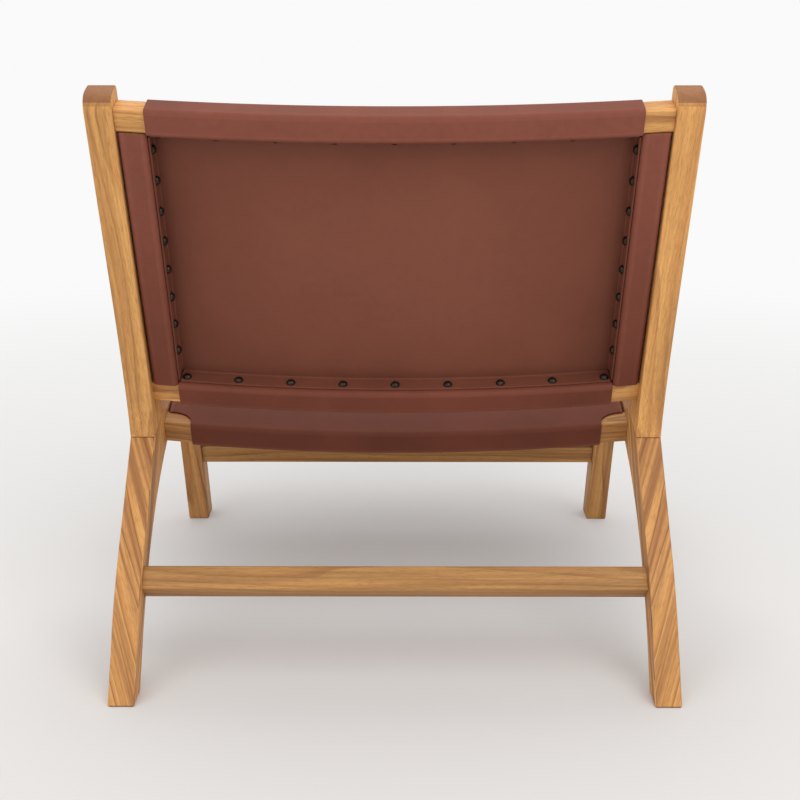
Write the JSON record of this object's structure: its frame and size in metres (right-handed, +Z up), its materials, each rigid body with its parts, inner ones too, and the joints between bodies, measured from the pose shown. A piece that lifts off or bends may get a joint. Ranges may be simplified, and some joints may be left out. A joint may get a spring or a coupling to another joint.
{
  "type": "lounge chair",
  "caption": "Low lounge chair: curved solid wood side frames, bowed cross rails, and a leather back and seat stretched over inner frames and fixed with dome nails.",
  "frame": {"origin": "on the floor, under the middle of the chair's box", "axes": "+Z up; the sitter faces -Y; +X is the sitter's left"},
  "size_m": [0.711, 0.7, 0.7423],
  "materials": {
    "teak": "oiled teak, open grain, satin",
    "leather": "smooth red-brown hide, soft sheen",
    "leather_liner": "smooth red-brown hide, a little darker",
    "nail_bronze": "dark antique bronze domes"
  },
  "bodies": {
    "root": {"left_rear_leg": "teak", "left_back_post": "teak", "left_seat_side_rail": "teak", "left_front_leg": "teak", "right_rear_leg": "teak", "right_back_post": "teak", "right_seat_side_rail": "teak", "right_front_leg": "teak", "rear_stretcher": "teak", "front_stretcher": "teak", "front_seat_rail": "teak", "rear_seat_rail": "teak", "top_back_rail": "teak", "bottom_back_rail": "teak", "left_back_stile": "teak", "right_back_stile": "teak", "left_seat_stile": "teak", "right_seat_stile": "teak", "back_sling": "leather", "back_liner": "leather_liner", "seat_sling": "leather", "top_nail_1": "nail_bronze", "top_nail_2": "nail_bronze", "top_nail_3": "nail_bronze", "top_nail_4": "nail_bronze", "top_nail_5": "nail_bronze", "top_nail_6": "nail_bronze", "top_nail_7": "nail_bronze", "top_nail_8": "nail_bronze", "top_nail_9": "nail_bronze", "bottom_nail_1": "nail_bronze", "bottom_nail_2": "nail_bronze", "bottom_nail_3": "nail_bronze", "bottom_nail_4": "nail_bronze", "bottom_nail_5": "nail_bronze", "bottom_nail_6": "nail_bronze", "bottom_nail_7": "nail_bronze", "bottom_nail_8": "nail_bronze", "bottom_nail_9": "nail_bronze", "left_side_nail_1": "nail_bronze", "left_side_nail_2": "nail_bronze", "left_side_nail_3": "nail_bronze", "left_side_nail_4": "nail_bronze", "left_side_nail_5": "nail_bronze", "left_side_nail_6": "nail_bronze", "left_side_nail_7": "nail_bronze", "left_side_nail_8": "nail_bronze", "right_side_nail_1": "nail_bronze", "right_side_nail_2": "nail_bronze", "right_side_nail_3": "nail_bronze", "right_side_nail_4": "nail_bronze", "right_side_nail_5": "nail_bronze", "right_side_nail_6": "nail_bronze", "right_side_nail_7": "nail_bronze", "right_side_nail_8": "nail_bronze"}
  },
  "joints": []
}
